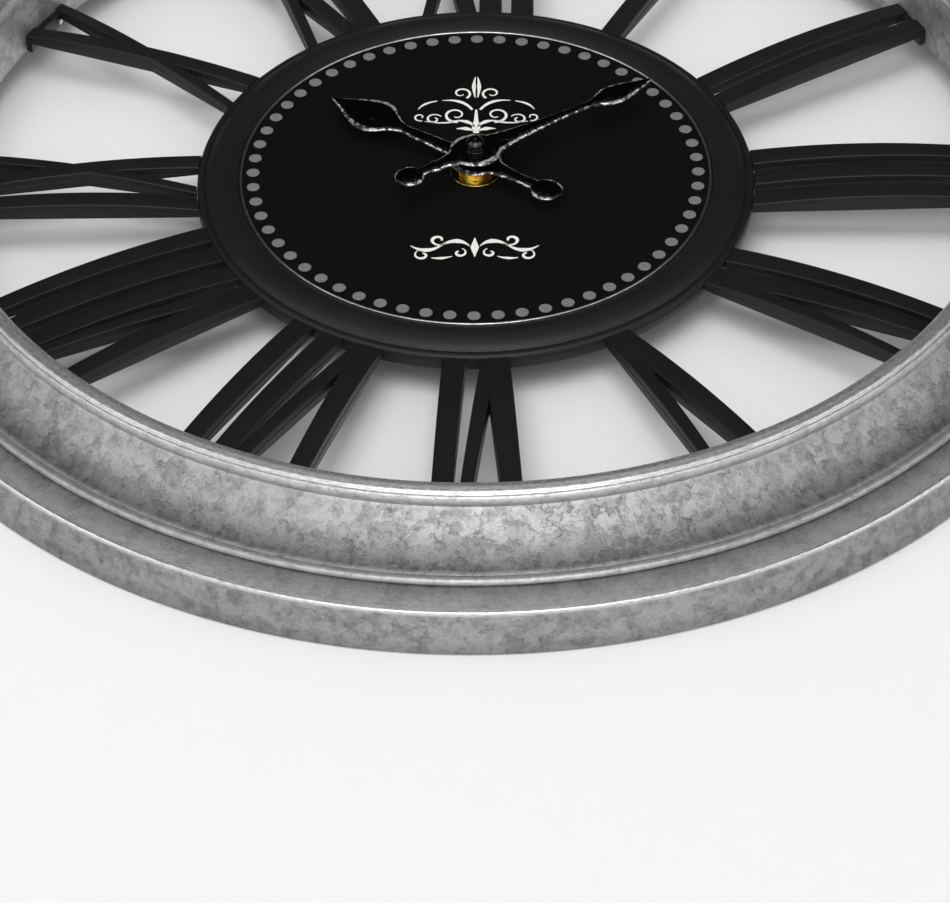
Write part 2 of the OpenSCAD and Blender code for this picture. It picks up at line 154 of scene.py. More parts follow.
def mesh_piece(name, skins, body, material, slot, replaced=(), sharp=35, **attributes):
    """One object made of closed skins, all facing outwards, that rides on a body and stands for CAD nodes."""
    points, faces, start = [], [], 0
    for p, f in skins:
        if volume(p, f) < 0:
            f = [g[::-1] for g in f]
        faces += [[k + start for k in g] for g in f]
        points.append(p)
        start += len(p)
    mesh = bpy.data.meshes.new(name)
    mesh.from_pydata(np.concatenate(points).tolist(), [], faces)
    for key, values in attributes.items():
        data = mesh.attributes.new(key, "FLOAT", "POINT").data
        data.foreach_set("value", np.asarray(values, np.float32).ravel())
    mesh.shade_smooth()
    mesh.set_sharp_from_angle(angle=math.radians(sharp))
    mesh.materials.append(material)
    piece = bpy.data.objects.new(name, mesh)
    bpy.context.scene.collection.objects.link(piece)
    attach(piece, body)
    if replaced:
        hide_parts(*replaced)


def spun(section, segments, wave=None):
    """Grid of a section of radius and height carried round the dial's axis. A wave gives the two amounts by
    which radius and height change with the angle."""
    a = np.linspace(0, TAU, segments, endpoint=False)[:, None]
    r, h = section[:, 0][None, :], section[:, 1][None, :]
    if wave is not None:
        r, h = r + wave(a)[0], h + wave(a)[1]
    return at(r * np.sin(a), r * np.cos(a), h + 0 * a)


# ---------------------------------------------------------------- materials

PER_MM = 1 / MM
RIM_R = 230


def linear(code):
    """Linear colour of an sRGB hex code."""
    v = np.array([int(code[i:i + 2], 16) for i in (1, 3, 5)]) / 255
    v = np.where(v <= 0.04045, v / 12.92, ((v + 0.055) / 1.055) ** 2.4)
    return (*v.tolist(), 1.0)


def finish(name):
    """New material. Gives it with the function that adds a node to it, and its Object coordinates."""
    material = bpy.data.materials.new(name)
    material.use_nodes = True
    tree = material.node_tree
    tree.nodes.clear()

    def add(kind, *values, out=0, **named):
        """Adds a node and gives one of its outputs. Values fill its inputs in order; a name with a capital is
        an input, with _ for a space; iN is the input at place N; any other name is a setting. An input takes
        a number, an sRGB hex code or another node's output."""
        new = tree.nodes.new("ShaderNode" + kind)
        inputs = dict(enumerate(values))
        for key, value in named.items():
            if key[0].isupper():
                inputs[key.replace("_", " ")] = value
            elif key[1:].isdigit():
                inputs[int(key[1:])] = value
            else:
                setattr(new, key, value)
        for place, value in inputs.items():
            if isinstance(value, bpy.types.NodeSocket):
                tree.links.new(value, new.inputs[place])
            else:
                new.inputs[place].default_value = linear(value) if isinstance(value, str) else value
        return new.outputs[out] if new.outputs else None

    return material, add, add("TexCoord", out="Object")


def round_the_rim(add, place, stretch):
    """Coordinates along the rim, across it and through it. The first is the angle, with its seam at twelve
    o'clock, times the rim's radius, shortened so that a pattern is drawn out along the rim."""
    x, y, z = (add("SeparateXYZ", place, out=axis) for axis in "XYZ")
    angle = add("Math", x, add("Math", z, -1.0, operation="MULTIPLY"), operation="ARCTAN2")
    across = add("VectorMath", add("CombineXYZ", X=x, Z=z), operation="LENGTH", out="Value")
    along = add("Math", angle, RIM_R * MM / stretch, operation="MULTIPLY")
    return add("CombineXYZ", along, across, y)


def galvanised_sheet():
    """Hot-dip galvanised steel: soft ragged zinc crystals a few millimetres across in close greys, lifting
    along their edges, rubbed bright and streaky where the sheet is rolled. That brightness is partly real
    wear and partly a painted highlight. The shade attribute adds painted shade. Crystals are noise cut at a
    level, and their edges are thin lines where the noise passes it."""
    m, add, place = finish("galvanised_zinc_sheet")
    rub, shade = (add("Attribute", attribute_name=key, out="Fac") for key in ("rub", "shade"))
    moved = add("Mapping", place, Location=(0.31, 0.17, 0.23))
    crystals, raw = {}, {}
    for kind, size, level, soft, where in (("coarse", 6.8, 0.53, 0.03, place),
                                           ("middle", 4, 0.54, 0.025, moved),
                                           ("small", 2.2, 0.55, 0.05, place)):
        raw[kind] = add("TexNoise", where, Scale=PER_MM / size, Detail=4, Roughness=0.58)
        crystals[kind] = add("MapRange", raw[kind], level - soft, level + soft)
    edges = []
    for kind, level, width in (("middle", 0.54, 0.007), ("coarse", 0.53, 0.005)):
        away = add("Math", add("Math", raw[kind], level, operation="SUBTRACT"), operation="ABSOLUTE")
        edges.append(add("MapRange", away, 0.0, width, 1.0, 0.0))
    here = add("MapRange", add("TexNoise", moved, Scale=PER_MM / 8, Detail=2, Roughness=0.5), 0.5, 0.62)
    flake = add("Math", add("Math", *edges, operation="MAXIMUM"), here, operation="MULTIPLY")

    speck = add("TexNoise", place, Scale=PER_MM / 0.8, Detail=4, Roughness=0.7)
    cloud = add("TexNoise", moved, Scale=PER_MM / 30, Detail=3, Roughness=0.55)
    tone = 0.0
    for part, share in ((crystals["coarse"], 0.24), (crystals["middle"], 0.2), (crystals["small"], 0.14),
                        (speck, 0.4), (cloud, 0.45), (raw["coarse"], 0.35)):
        tone = add("Math", part, share, tone, operation="MULTIPLY_ADD")
    dull = add("Mix", add("MapRange", tone, 0.5, 1.3), i6="#a9a9a7", i7="#757677", data_type="RGBA", out=2)
    edged = add("Math", flake, 0.6, operation="MULTIPLY")
    dull = add("Mix", edged, i6=dull, i7="#585959", data_type="RGBA", out=2)
    smear = add("TexNoise", round_the_rim(add, place, 3.5), Scale=PER_MM / 0.7, Detail=5, Roughness=0.65)
    streak = add("MapRange", smear, 0.35, 0.65)
    # near-white zinc where rub is set: partly rubbed wear, partly a painted highlight on the roll, bead and
    # edge
    bright = add("Mix", streak, i6="#c3c4c6", i7="#f2f2f3", data_type="RGBA", out=2)
    base = add("Mix", rub, i6=dull, i7=bright, data_type="RGBA", out=2)
    # painted shade: the shade attribute multiplies the colour towards dark grey
    base = add("Mix", shade, i6=base, i7="#55565a", data_type="RGBA", blend_type="MULTIPLY", out=2)

    dull_rough = add("MapRange", speck, 0.3, 0.7, 0.42, 0.58)
    bright_rough = add("MapRange", smear, 0.3, 0.7, 0.24, 0.38)
    rough = add("Mix", rub, A=dull_rough, B=bright_rough)
    plain = add("Math", rub, -0.88, 1.0, operation="MULTIPLY_ADD")
    fine = add("Math", speck, plain, add("Math", smear, 0.25, operation="MULTIPLY"), operation="MULTIPLY_ADD")
    grain = add("Bump", Height=fine, Strength=0.3, Distance=0.05 * MM)
    step = add("Math", crystals["middle"], 0.5, operation="MULTIPLY")
    step = add("Math", crystals["coarse"], 0.5, step, operation="MULTIPLY_ADD")
    step = add("Math", crystals["small"], -0.2, step, operation="MULTIPLY_ADD")
    step = add("Math", add("Math", step, flake, operation="SUBTRACT"), plain, operation="MULTIPLY")
    lifted = add("Bump", Height=step, Strength=0.9, Distance=0.16 * MM, Normal=grain)
    metal = add("MapRange", rub, 0.2, 0.8, 0.6, 0.8)
    surface = add("BsdfPrincipled", Base_Color=base, Metallic=metal, Roughness=rough, Normal=lifted)
    add("OutputMaterial", surface)
    return m


def moulded_black():
    """Matte black ABS moulding: fine spark texture with a little scatter in its gloss, faintly cloudy."""
    m, add, place = finish("moulded_black_abs")
    fine = add("TexNoise", place, Scale=PER_MM / 0.7, Detail=3, Roughness=0.6)
    cloud = add("TexNoise", place, Scale=PER_MM / 30, Detail=3)
    surface = add("BsdfPrincipled", IOR=1.5, Specular_IOR_Level=0.38,
                  Base_Color=add("Mix", cloud, i6="#131314", i7="#1b1b1d", data_type="RGBA", out=2),
                  Roughness=add("MapRange", fine, 0.3, 0.7, 0.44, 0.58),
                  Normal=add("Bump", Height=fine, Strength=0.35, Distance=0.04 * MM))
    add("OutputMaterial", surface)
    return m


def dial_black():
    """Flat black screen print on a thin plate: nearly no relief, faint roller texture."""
    m, add, place = finish("dial_black_print")
    fine = add("TexNoise", place, Scale=PER_MM / 1.1, Detail=4, Roughness=0.6)
    surface = add("BsdfPrincipled", IOR=1.45, Specular_IOR_Level=0.2,
                  Base_Color=add("Mix", fine, i6="#070707", i7="#0c0c0c", data_type="RGBA", out=2),
                  Roughness=add("MapRange", fine, 0.3, 0.7, 0.56, 0.7),
                  Normal=add("Bump", Height=fine, Strength=0.15, Distance=0.02 * MM))
    add("OutputMaterial", surface)
    return m


def printed_ink(name, dark, light):
    """Screen printed ink: even colour with a slightly grainy film."""
    m, add, place = finish(name)
    grain = add("TexNoise", place, Scale=PER_MM / 0.6, Detail=3, Roughness=0.7)
    tint = add("MapRange", grain, 0.35, 0.65)
    surface = add("BsdfPrincipled", Roughness=0.6,
                  Base_Color=add("Mix", tint, i6=dark, i7=light, data_type="RGBA", out=2),
                  Normal=add("Bump", Height=grain, Strength=0.2, Distance=0.02 * MM))
    add("OutputMaterial", surface)
    return m


def turned(name, dark, light, rough):
    """Turned or polished metal: rings 0.35 mm apart round the clock's axis, as a lathe leaves them, drawn
    coarser than they are so that they show, and lightly tarnished."""
    m, add, place = finish(name)
    rings = add("TexWave", place, wave_type="RINGS", rings_direction="Y", Scale=PER_MM / 0.35 / TAU,
                Distortion=0.6, Detail=2, out="Fac")
    tarnish = add("TexNoise", place, Scale=PER_MM / 4, Detail=4, Roughness=0.6)
    tint = add("MapRange", tarnish, 0.35, 0.7)
    surface = add("BsdfPrincipled", Metallic=1.0,
                  Base_Color=add("Mix", tint, i6=dark, i7=light, data_type="RGBA", out=2),
                  Roughness=add("MapRange", tarnish, 0.3, 0.7, rough + 0.1, rough),
                  Normal=add("Bump", Height=rings, Strength=0.5, Distance=0.01 * MM))
    add("OutputMaterial", surface)
    return m


def black_lacquer(name, hammered):
    """Cast zinc under glossy black lacquer: hammered lumps three millimetres across and of a depth in
    millimetres, edges rubbed to metal in broken streaks. Their near-white colour is partly real wear and
    partly a painted highlight along the rims."""
    m, add, place = finish(name)
    lumps = add("TexNoise", place, Scale=PER_MM / 3.4, Detail=2, Distortion=0.6)
    streak = add("TexNoise", place, Scale=PER_MM / 2.4, Detail=4, Roughness=0.6)
    edge = add("Attribute", attribute_name="worn", out="Fac")
    # near-white on the rims: partly metal rubbed bare, partly a painted highlight
    worn = add("Math", edge, add("MapRange", streak, 0.46, 0.53, 0.04, 1.0), operation="MULTIPLY")
    surface = add("BsdfPrincipled", IOR=1.5,
                  Base_Color=add("Mix", worn, i6="#060607", i7="#f4f4f5", data_type="RGBA", out=2),
                  Metallic=add("Math", worn, 0.75, operation="MULTIPLY"),
                  Roughness=add("MapRange", lumps, 0.3, 0.7, 0.07, 0.16),
                  Normal=add("Bump", Height=lumps, Strength=0.8, Distance=hammered * MM))
    add("OutputMaterial", surface)
    return m


def cloudy_metal(name):
    """Zinc plated or plain rolled steel: pale grey metal with faint clouds and a fine rolled grain."""
    m, add, place = finish(name)
    cloud = add("TexNoise", place, Scale=PER_MM / 6, Detail=4, Roughness=0.6)
    fine = add("TexNoise", place, Scale=PER_MM / 0.8, Detail=2)
    surface = add("BsdfPrincipled", Metallic=1.0,
                  Base_Color=add("Mix", cloud, i6="#8f9296", i7="#d2d4d4", data_type="RGBA", out=2),
                  Roughness=add("MapRange", cloud, 0.3, 0.7, 0.26, 0.44),
                  Normal=add("Bump", Height=fine, Strength=0.2, Distance=0.02 * MM))
    add("OutputMaterial", surface)
    return m


def moulded(name, dark, light, rough, grit, depth):
    """Moulded plastic or rubber with an etched grain of the given grit and depth in millimetres."""
    m, add, place = finish(name)
    grain = add("TexNoise", place, Scale=PER_MM / grit, Detail=3, Roughness=0.6)
    cloud = add("TexNoise", place, Scale=PER_MM / 18, Detail=2)
    surface = add("BsdfPrincipled", IOR=1.5,
                  Base_Color=add("Mix", cloud, i6=dark, i7=light, data_type="RGBA", out=2),
                  Roughness=add("MapRange", grain, 0.3, 0.7, rough - 0.06, rough + 0.08),
                  Normal=add("Bump", Height=grain, Strength=0.5, Distance=depth * MM))
    add("OutputMaterial", surface)
    return m


def wound_copper():
    """Enamelled copper wire, wound in layers along x, each turn drawn 0.25 mm wide so that it shows."""
    m, add, place = finish("enamelled_copper_wire")
    turns = add("TexWave", place, bands_direction="X", Scale=PER_MM / 0.25 / TAU, Distortion=0.3, out="Fac")
    surface = add("BsdfPrincipled", Metallic=1.0, Roughness=0.3,
                  # painted shade: the colour runs from dark in the grooves between turns to light on each
                  # turn's crown
                  Base_Color=add("Mix", turns, i6="#6b2d10", i7="#c9743a", data_type="RGBA", out=2),
                  Normal=add("Bump", Height=turns, Strength=0.8, Distance=0.08 * MM))
    add("OutputMaterial", surface)
    return m


def battery_sleeve():
    """Printed film sleeve on a dry cell: dark body, a copper coloured band at its positive end, steel
    ends."""
    m, add, place = finish("battery_film_sleeve")
    along = add("SeparateXYZ", place, out="X")
    band_edge, cap_edge = -14.5 * MM, 24.3 * MM
    band = add("Math", along, band_edge, operation="LESS_THAN")
    ends = add("Math", add("Math", along, operation="ABSOLUTE"), cap_edge, operation="GREATER_THAN")
    scuff = add("TexNoise", place, Scale=PER_MM / 3, Detail=5, Roughness=0.7)
    body = add("Mix", scuff, i6="#15181c", i7="#2b3036", data_type="RGBA", out=2)
    sleeve = add("Mix", band, i6=body, i7="#b9783a", data_type="RGBA", out=2)
    surface = add("BsdfPrincipled", Metallic=0.4,
                  Base_Color=add("Mix", ends, i6=sleeve, i7="#c4c6c8", data_type="RGBA", out=2),
                  Roughness=add("MapRange", scuff, 0.3, 0.7, 0.24, 0.4),
                  Normal=add("Bump", Height=scuff, Strength=0.1, Distance=0.02 * MM))
    add("OutputMaterial", surface)
    return m


def solder_mask():
    """Green solder mask over copper, laid out in staggered cells of 1.2 by 0.6 mm."""
    m, add, place = finish("green_solder_mask")
    tracks = add("TexBrick", place, offset=0.5, Scale=PER_MM / 2.4, Mortar_Size=0.06, out="Fac")
    surface = add("BsdfPrincipled", Roughness=0.3, IOR=1.5,
                  Base_Color=add("Mix", tracks, i6="#174a28", i7="#3f8a52", data_type="RGBA", out=2),
                  Normal=add("Bump", Height=tracks, Strength=0.3, Distance=0.05 * MM))
    add("OutputMaterial", surface)
    return m


GALVANISED = galvanised_sheet()
ABS = moulded_black()
DIAL = dial_black()
LACQUER = black_lacquer("hammered_black_lacquer_on_zinc", 0.5)
SMOOTH_LACQUER = black_lacquer("smooth_black_lacquer_on_zinc", 0.02)
BRASS = turned("turned_brass", "#b89a3c", "#e6cf7c", 0.18)
TRIM = turned("polished_aluminium_trim", "#b9bbbd", "#eef0f1", 0.3)
WHITE_INK = printed_ink("white_screen_ink", "#e2e0da", "#f8f7f4")
DOT_INK = printed_ink("grey_screen_ink", "#696969", "#7c7c7c")
ZINC = cloudy_metal("zinc_plated_steel")
CASE = moulded("black_case_abs", "#141516", "#1e1f21", 0.55, 0.9, 0.08)
COVER = moulded("dark_cover_abs", "#1c1d20", "#26282b", 0.5, 0.9, 0.08)
ACETAL = moulded("natural_acetal", "#d6d1c2", "#ece8db", 0.42, 2.0, 0.02)
YELLOW = moulded("yellow_acetal", "#c39a35", "#dcb450", 0.42, 2.0, 0.02)
RUBBER = moulded("nitrile_rubber", "#0f0f10", "#19191a", 0.75, 0.6, 0.05)
STEEL = turned("turned_steel", "#a3a6a9", "#d9dbdd", 0.22)
MAGNET = moulded("sintered_ferrite", "#2a2c2e", "#3d4043", 0.5, 0.5, 0.03)
CORE = cloudy_metal("stamped_silicon_steel")
NICKEL = turned("nickel_plate", "#b5b4ae", "#e2e0d8", 0.2)
COPPER = wound_copper()
SLEEVE = battery_sleeve()
BOARD = solder_mask()

CARRIED = {
    "dial_plate": DIAL, "minute_dots": DOT_INK, "numeral_screws": ZINC, "hanger_plate": ZINC,
    "hanger_rivets": ZINC, "movement_case": CASE, "movement_cover": COVER, "cover_screws": ZINC,
    "gear_plate": CASE, "threaded_bush": BRASS, "cushion_washer": RUBBER, "hour_wheel": ACETAL,
    "minute_arbor": STEEL, "centre_wheel": ACETAL, "motion_wheel": ACETAL, "third_wheel": YELLOW,
    "second_wheel": ACETAL, "idler_wheel": ACETAL, "rotor": MAGNET, "set_knob": ACETAL, "stator": CORE,
    "coil_bobbin": ACETAL, "coil_winding": COPPER, "circuit_board": BOARD, "quartz_can": NICKEL,
    "battery": SLEEVE, "contact_plate": NICKEL, "contact_spring": NICKEL,
}

for cad_name, cad_finish in CARRIED.items():
    cad_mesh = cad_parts[cad_name].data
    cad_mesh.materials.clear()
    cad_mesh.materials.append(cad_finish)


# ---------------------------------------------------------------- galvanised frame

SHEET = 0.9
DRUM_R, DRUM_BACK = 209.8, -8
ROLL_C, ROLL_R, ROLL_END = np.array([214.3, 21.4]), 4.5, -30
GROOVE_AT, GROOVE_WIDE, GROOVE_DEEP = math.radians(42), 0.15, 0.45
BEAD_C, BEAD_R, BEAD_START = np.array([238.5, 1.7]), 1.9, 135
RIM_START, RIM_FRONT, RIM_BACK, LIP_R = np.array([240.3, 0.35]), np.array([250, -2.4]), -20.3, 246.5
EDGE_C, LIP_C, FOLD_R = np.array([249.9, -3.2]), np.array([253.2, -19.5]), 0.8
SIDE = np.array([[250.9, -4.6], [252.2, -10.8], [253.9, -18.6]])
ROUND = 800


def hand_rolled(size):
    """Slow waves in radius and height round a ring of sheet, as its rolling leaves them: sums of sines of the
    angle."""
    def wave(a):
        r = size * (np.sin(3 * a + 0.4) + 0.6 * np.sin(7 * a + 2.0) + 0.35 * np.sin(17 * a + 1.1))
        return r, 0.6 * size * (np.sin(5 * a + 1.7) + 0.5 * np.sin(11 * a))
    return wave


def near(section, centre, radius, soft):
    """1 for section points within a radius of a centre, falling to 0 over a soft distance."""
    d = np.linalg.norm(section - np.array(centre), axis=1)
    return np.clip((radius + soft - d) / soft, 0, 1)


def rolled_edge():
    """Circle from the inner wall over the front to the flare. One shallow groove along its outer shoulder is
    a bell-shaped dip in its radius."""
    angle = np.radians(np.linspace(180, ROLL_END, 60))
    radius = ROLL_R - GROOVE_DEEP * np.exp(-((angle - GROOVE_AT) / GROOVE_WIDE) ** 2)
    return ROLL_C + radius[:, None] * np.stack([np.cos(angle), np.sin(angle)], -1)


def sheet_ring(name, node, path, rub, shade, waviness):
    """Galvanised ring of bent sheet. Its rub, which is rubbed wear and a painted highlight, and its
    painted shade are functions of the section, the same all the way round."""
    section = sheet_section(path, SHEET)
    once = np.ones((ROUND, 1))
    ring = skin(spun(section, ROUND, hand_rolled(waviness)), True)
    mesh_piece(name, [ring], "frame", GALVANISED, "galvanised", [node], rub=once * rub(section),
               shade=once * shade(section))


def drum():
    """Inner wall, rolled front edge, concave flare and rolled bead as one bent sheet, carried round the axis.
    It is rubbed bright on the roll and the bead, partly real wear and partly a painted highlight, and
    darkened by painted shade at the flare's foot."""
    wall = np.stack([np.full(10, DRUM_R), np.linspace(DRUM_BACK, ROLL_C[1] - 0.8, 10)], -1)
    roll, bead = rolled_edge(), arc(BEAD_C, BEAD_R, BEAD_START, -15, 18)
    sag = 1.4
    flare = bend(roll[-1], (roll[-1] + bead[0]) / 2 - sag, bead[0], 14)
    path = np.concatenate([wall, roll, flare, bead])
    foot = BEAD_C + [-3.0, 1.2]
    sheet_ring("drum_sheet", "drum_ring", path,
               # bright on the roll and faintly on the bead: rubbed wear and painted highlight
               lambda p: np.maximum(near(p, ROLL_C + [-0.6, 1.0], 3.4, 2.6), 0.4 * near(p, BEAD_C, 1.8, 0.8)),
               # painted shade at the flare's foot, eased right at the bead
               lambda p: 0.7 * near(p, foot, 1.2, 13.0) * (1 - 0.6 * near(p, BEAD_C, 2.0, 0.3)),
               0.07)


def base():
    """Rim from under the bead, cove, folded edge, sloping side and rear lip as one bent sheet. It is rubbed
    bright on the edge, partly real wear and partly a painted highlight, and darkened by painted shade in the
    crease under the bead, on the side and at the rear lip."""
    path = np.concatenate([
        [[236, 0.9], [238, 0.7], RIM_START], bend(RIM_START, [245.6, -1.4], RIM_FRONT, 12),
        arc(EDGE_C, FOLD_R, 80, 10, 8),
        np.linspace(SIDE[0], SIDE[1], 5),
        np.linspace(SIDE[1] + [0.3, -1.4], SIDE[2], 6),
        arc(LIP_C, FOLD_R, 10, -90, 8), [[250, RIM_BACK], [LIP_R, RIM_BACK]]])
    sheet_ring("base_sheet", "base_ring", path,
               # bright on the folded edge and faintly across the cove: rubbed wear and painted highlight
               lambda p: np.maximum(near(p, EDGE_C + 0.3, 0.9, 0.7), 0.3 * near(p, [246, -1.4], 3.0, 4.0)),
               # painted shade in the crease under the bead, at the rear lip and along the side
               lambda p: 0.45 * np.max([near(p, RIM_START + [0.3, -0.05], 1.0, 6.0),
                                        0.8 * near(p, SIDE[2] + [-0.3, 0.1], 1.5, 6.0),
                                        0.3 * near(p, SIDE[1] + [0.2, -0.7], 7.0, 1.0)], 0),
               0.06)


drum()
base()


# ---------------------------------------------------------------- centre moulding and dial

MOULDING_IN, MOULDING_OUT, MOULDING_BACK, WEB_FRONT, WEB_BACK, BUSH_HOLE_R = 94.6, 111.5, -8, -0.85, -3, 5.2
CREST_C, CREST_R = (101, -7.3), 9.4
OUTER_BEAD_C, OUTER_BEAD_R = (109.6, -3.3), 1.9
LINE_R, LINE_HALF = 94, 0.5
FINE_ROUND = 540


def moulding():
    """Turned ring: inner lip, long crest, groove and outer bead, carried round the axis with its web behind
    the dial. The web's front lies under the dial plate."""
    front = np.concatenate([
        [[MOULDING_IN, WEB_FRONT]], arc(CREST_C, CREST_R, 131, 45, 24), [[108.0, -1.5]],
        arc(OUTER_BEAD_C, OUTER_BEAD_R, 128, 0, 14)])
    back = filleted([
        [MOULDING_OUT, -4], [MOULDING_OUT, MOULDING_BACK], [109.5, MOULDING_BACK], [109.5, -4.6], [107, -3.6],
        [104.5, -1.7], [101, -0.2], [97.6, -0.7], [MOULDING_IN, WEB_BACK], [BUSH_HOLE_R, WEB_BACK],
        [BUSH_HOLE_R, WEB_FRONT], [50, WEB_FRONT]], 0.3, 2)
    ring = skin(spun(np.concatenate([front, back]), FINE_ROUND), True)
    mesh_piece("centre_moulding", [ring], "frame", ABS, "numeral_black", ["dial_ring"])


def trim():
    """Thin polished line round the dial: a flat back and an arc for its front."""
    back = [[LINE_R - LINE_HALF, WEB_FRONT + 0.01], [LINE_R + LINE_HALF, WEB_FRONT + 0.01]]
    section = np.concatenate([back, arc([LINE_R, 0], LINE_HALF, 10, 170, 10)])
    ring = skin(spun(section, FINE_ROUND), True)
    mesh_piece("dial_line", [ring], "frame", TRIM, "trim_bright", ["dial_trim_ring"])


INK_LOW, INK_HIGH = 0.01, 0.05


def ink_stroke(path, widths):
    """Thin raised ribbon of ink: the path moved half a width to both sides, with widths spread evenly along
    it."""
    path = np.array(path, float)
    d = np.gradient(path, axis=0)
    side = np.stack([d[:, 1], -d[:, 0]], -1) / np.linalg.norm(d, axis=1, keepdims=True)
    half = np.interp(np.linspace(0, 1, len(path)), np.linspace(0, 1, len(widths)), widths)[:, None] / 2
    left, right = path - side * half, path + side * half
    rows = [at(p[:, 0], p[:, 1], h) for p, h in
            ((left, INK_LOW), (right, INK_LOW), (right, INK_HIGH), (left, INK_HIGH))]
    return skin(np.stack(rows, 1))


def spiral(centre, r0, r1, start, end, steps=40):
    """Spiral whose radius runs evenly from r0 to r1 while its angle, in degrees, runs from start to end."""
    a = np.radians(np.linspace(start, end, steps))
    r = np.linspace(r0, r1, steps)
    return np.stack([centre[0] + r * np.cos(a), centre[1] + r * np.sin(a)], -1)


def mirrored(strokes):
    """Each path and its mirror image about the dial's upright middle line."""
    return [(p * [s, 1], w) for p, w in strokes for s in (1, -1)]


def crest():
    """Symmetric scroll of the maker's own drawing: a flared stem, two leaves and paired spirals above it.
    Every stroke is a quadratic curve or a spiral."""
    stem = [(np.array([[0, 25.5], [0, 29], [0, 34], [0, 41]]), [2.2, 3.6, 1.8, 0.8])]
    pairs = mirrored([
        (bend([0.6, 26.5], [3.5, 29.5], [8.6, 28.2], 16), [0.4, 2.2, 0.3]),
        (bend([0.4, 29], [2.5, 34.5], [9.4, 33.6], 16), [0.5, 2.0, 0.4]),
        (spiral((8.2, 37.6), 4.8, 1.4, -100, 300), [1.3, 0.9, 0.5]),
        (spiral((17.2, 34.8), 3.4, 0.9, 150, -250), [0.5, 1.0, 0.5]),
        (bend([9, 33.2], [14, 31.2], [21.8, 33.6], 18), [1.1, 0.8, 0.3]),
        (spiral((22.8, 36.1), 2.6, 0.8, -110, 220, 30), [0.6, 0.8, 0.4]),
        (bend([1.2, 40], [5, 49], [15, 47], 18), [1.0, 1.6, 0.3]),
        (spiral((6.2, 52.0), 3.9, 1.1, 235, -140), [1.0, 0.9, 0.4]),
        (bend([15, 47], [22, 46], [24, 40.5], 14), [0.5, 1.2, 0.3]),
        (bend([0.3, 48], [1.9, 57], [0.2, 64], 14), [0.4, 1.7, 0.3]),
    ])
    mesh_piece("dial_crest", [ink_stroke(p, w) for p, w in stem + pairs], "frame", WHITE_INK, "dot_grey")


def flourish():
    """Ornament under the hands, with no letters: a leaf in the middle, two swelling S-curves and curls at
    both sides."""
    middle = -47.5
    wave = np.concatenate([bend([1.5, middle], [6, middle + 7], [13, middle + 1.5], 18),
                           bend([13, middle + 1.5], [19, middle - 5], [26, middle + 1.8], 18)])
    sides = mirrored([
        (wave, [0.3, 2.6, 0.8, 2.3, 0.3]),
        (spiral((14.2, middle + 4.6), 3.5, 1.1, -150, 200), [0.4, 1.5, 0.8]),
        (spiral((20.6, middle - 4.6), 3.1, 1.0, 60, -260), [0.4, 1.3, 0.7]),
        (spiral((5.9, middle - 3.3), 2.7, 0.9, 110, 430), [0.4, 1.3, 0.7]),
        (bend([8.2, middle - 5.2], [13, middle - 7.6], [17.6, middle - 6.2], 16), [0.3, 1.5, 0.4]),
    ])
    leaves = [(bend([0, middle - 6.5], [0.01, middle], [0, middle + 6.5], 20), [0.3, 3.4, 0.3])]
    mesh_piece("dial_flourish", [ink_stroke(p, w) for p, w in leaves + sides], "frame", WHITE_INK, "dot_grey")


moulding()
trim()
crest()
flourish()


# ---------------------------------------------------------------- numerals

FOOT_R, HEAD_R = 112, 200
INNER_R, OUTER_R = 111.7, 209.6
THICK, V_THICK, V_THIN, X_THICK, X_THIN = (9.4, 7.9), (10.2, 8), (6.8, 5), (8, 7), (5, 5)
# Each stroke: middle at the foot radius, middle at the head radius, widths at both
STROKES = {
    1: [(0, 0, THICK)],
    2: [(-6.6, -6.6, THICK), (6.6, 6.6, THICK)],
    3: [(-12.5, -11.5, THICK), (0.7, 1.5, THICK), (13.9, 14.6, THICK)],
    4: [(-7.5, -11.8, THICK), (6.7, -1.95, V_THICK), (9.8, 17.2, V_THIN)],
    5: [(0.5, -9.7, V_THICK), (2.8, 10.6, V_THIN)],
    6: [(-8.9, -15.6, V_THICK), (-6, 3.4, V_THIN), (7.5, 11.8, THICK)],
    7: [(-18.2, -35.8, V_THICK), (-15.3, -9.9, V_THIN), (-1.9, -2.6, THICK), (11.9, 11.1, THICK)],
    8: [(-19.6, -32, V_THICK), (-17.2, -12, V_THIN), (-4.3, -5.6, THICK), (8.7, 7.2, THICK),
        (21.9, 20.4, THICK)],
    9: [(-16.2, -20.6, THICK), (10.5, -7.2, X_THICK), (-7.5, 9.2, X_THIN)],
    10: [(9, -8.7, X_THICK), (-8.6, 8.6, X_THIN)],
    11: [(3, -14.7, X_THICK), (-14.6, 2.6, X_THIN), (12.4, 14.4, THICK)],
    12: [(-4.2, -20.4, X_THICK), (-20.4, -4.6, X_THIN), (5.4, 6, THICK), (18.8, 19.6, THICK)],
}
FACE_TOP, FACE_TOP_R, FACE_BEND_R = 2.05, 170, 387
SIDE_DEPTH, FOOT_BACK, HEAD_BACK = 4.4, -6, -3.6
PAD_HALF, PAD_IN, PAD_OUT, PAD_BACK, PAD_FRONT = 11, 206.8, 209.6, -7.6, -1


def face_height(r):
    """Height of the numerals' arched face at a radius: a shallow parabola with its top between the rings."""
    return FACE_TOP - (r - FACE_TOP_R) ** 2 / (2 * FACE_BEND_R)


def across(stroke, r, side):
    """Sideways place of a stroke's middle (side 0) or edge (side 1 or -1) at a radius."""
    t = (r - FOOT_R) / (HEAD_R - FOOT_R)
    inner, outer, (w0, w1) = stroke
    return inner + (outer - inner) * t + side * (w0 + (w1 - w0) * t) / 2


